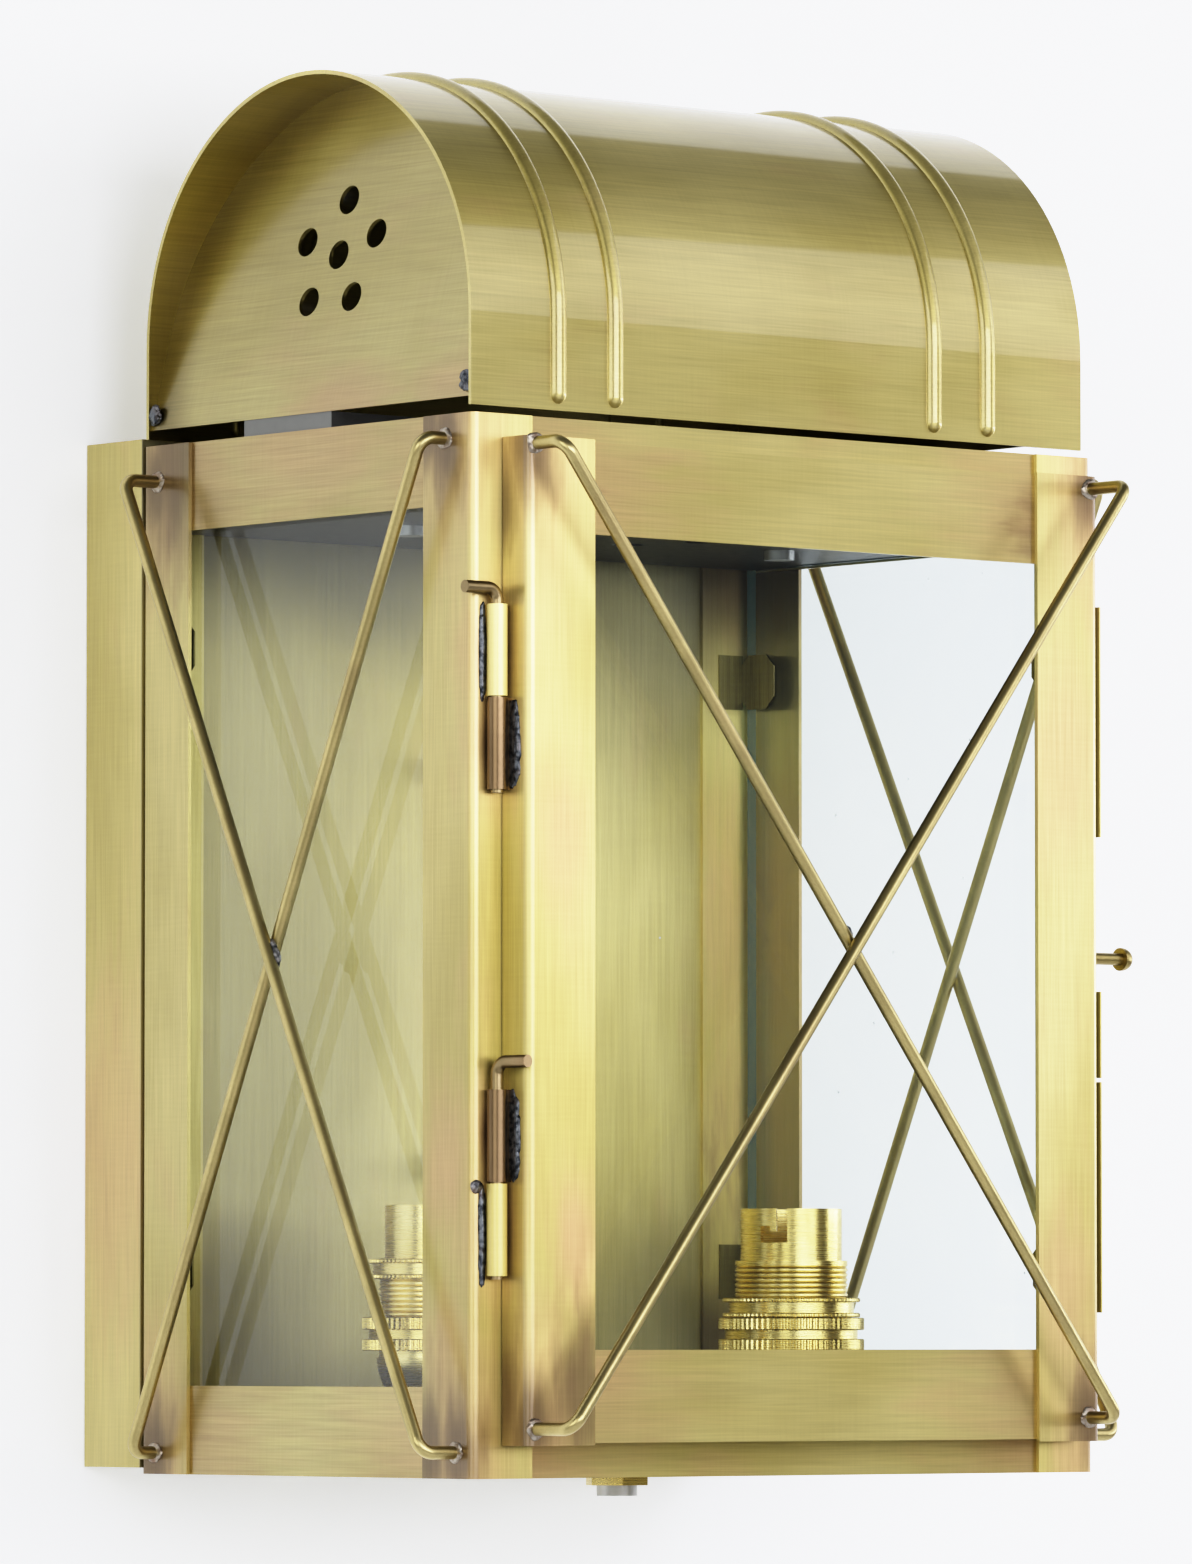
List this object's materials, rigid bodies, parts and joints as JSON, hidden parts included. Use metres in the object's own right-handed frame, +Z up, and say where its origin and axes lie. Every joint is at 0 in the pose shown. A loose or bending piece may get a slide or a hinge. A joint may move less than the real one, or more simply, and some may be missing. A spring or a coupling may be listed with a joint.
{
  "type": "outdoor wall lantern",
  "caption": "Glazed brass outdoor wall lantern with an arched vented roof, hinged front door, crossed guard wires and bayonet lampholders.",
  "frame": {"origin": "on the wall plane, midway between the two wall screws, which is the middle of the glazed body's width and height", "axes": "+X to the lantern's right seen from the front, +Y into the wall, +Z up"},
  "size_m": [0.225, 0.1758, 0.347],
  "materials": {
    "strap_steel": "zinc plated",
    "stud_steel": "zinc plated thread",
    "brass_bright": "polished",
    "brass_sheet": "brushed and lightly aged",
    "brass_wire": "drawn, aged",
    "brass_stained": "heat stained",
    "rubber_black": "matt",
    "terminal_white": "moulded",
    "lead_sleeve": "sleeved wire",
    "bar_metal": "dull",
    "clear_glass": "clear float glass",
    "ceramic_white": "glazed ceramic",
    "spring_steel": "spring wire"
  },
  "bodies": {
    "lantern": {"wall_strap": "strap_steel", "wall_studs": "stud_steel", "dome_nuts": "brass_bright", "back_box": "brass_sheet", "cable_grommet": "rubber_black", "terminal_block": "terminal_white", "earth_terminal": "brass_bright", "lead_left": "lead_sleeve", "lead_right": "lead_sleeve", "front_left_post": "brass_sheet", "front_right_post": "brass_sheet", "rear_left_post": "brass_sheet", "rear_right_post": "brass_sheet", "front_top_rail": "brass_sheet", "front_bottom_rail": "brass_sheet", "left_top_rail": "brass_sheet", "left_bottom_rail": "brass_sheet", "right_top_rail": "brass_sheet", "right_bottom_rail": "brass_sheet", "base_plate": "brass_sheet", "ceiling_plate": "brass_sheet", "roof_skin": "brass_sheet", "roof_left_end": "brass_sheet", "roof_right_end": "brass_sheet", "roof_bar": "bar_metal", "roof_screws": "stud_steel", "left_glass": "clear_glass", "right_glass": "clear_glass", "side_glass_clips": "brass_sheet", "left_guard_wires": "brass_wire", "right_guard_wires": "brass_wire", "catch_springs": "brass_sheet", "body_knuckles": "brass_sheet", "lamp_bar": "brass_bright", "centre_tube": "stud_steel", "conduit_nuts": "brass_bright", "lampholder_nipples": "brass_bright", "lampholder_caps": "brass_bright", "left_lampholder_shell": "brass_bright", "right_lampholder_shell": "brass_bright", "upper_shade_rings": "brass_bright", "lower_shade_rings": "brass_bright", "insulators": "ceramic_white", "contact_springs": "spring_steel"},
    "door": {"door_hinge_stile": "brass_sheet", "door_latch_stile": "brass_sheet", "door_top_rail": "brass_sheet", "door_bottom_rail": "brass_sheet", "door_glass": "clear_glass", "door_glass_clips": "brass_sheet", "door_knob": "brass_bright", "door_guard_wires": "brass_wire", "door_knuckles": "brass_stained"},
    "upper_pin": {"upper_hinge_pin": "brass_stained"},
    "lower_pin": {"lower_hinge_pin": "brass_stained"},
    "left_plunger_a_body": {"left_plunger_a": "brass_bright"},
    "left_plunger_b_body": {"left_plunger_b": "brass_bright"},
    "right_plunger_a_body": {"right_plunger_a": "brass_bright"},
    "right_plunger_b_body": {"right_plunger_b": "brass_bright"}
  },
  "joints": [
    {"name": "door_hinge", "type": "hinge", "parent": "lantern", "child": "door", "pos_m": [-0.0944, -0.15295, 0.00105], "axis": [0, 0, -1], "range_deg": [0, 100]},
    {"name": "upper_pin_lift", "type": "slide", "parent": "lantern", "child": "upper_pin", "axis": [0, 0, 1], "range_m": [0, 0.046]},
    {"name": "lower_pin_lift", "type": "slide", "parent": "door", "child": "lower_pin", "axis": [0, 0, 1], "range_m": [0, 0.046]},
    {"name": "left_plunger_a_press", "type": "slide", "parent": "lantern", "child": "left_plunger_a_body", "axis": [0, 0, -1], "range_m": [0, 0.003], "stiffness_N_per_m": 800, "springref_m": -0.003, "deforming": ["contact_springs"]},
    {"name": "left_plunger_b_press", "type": "slide", "parent": "lantern", "child": "left_plunger_b_body", "axis": [0, 0, -1], "range_m": [0, 0.003], "stiffness_N_per_m": 800, "springref_m": -0.003, "deforming": ["contact_springs"]},
    {"name": "right_plunger_a_press", "type": "slide", "parent": "lantern", "child": "right_plunger_a_body", "axis": [0, 0, -1], "range_m": [0, 0.003], "stiffness_N_per_m": 800, "springref_m": -0.003, "deforming": ["contact_springs"]},
    {"name": "right_plunger_b_press", "type": "slide", "parent": "lantern", "child": "right_plunger_b_body", "axis": [0, 0, -1], "range_m": [0, 0.003], "stiffness_N_per_m": 800, "springref_m": -0.003, "deforming": ["contact_springs"]}
  ]
}
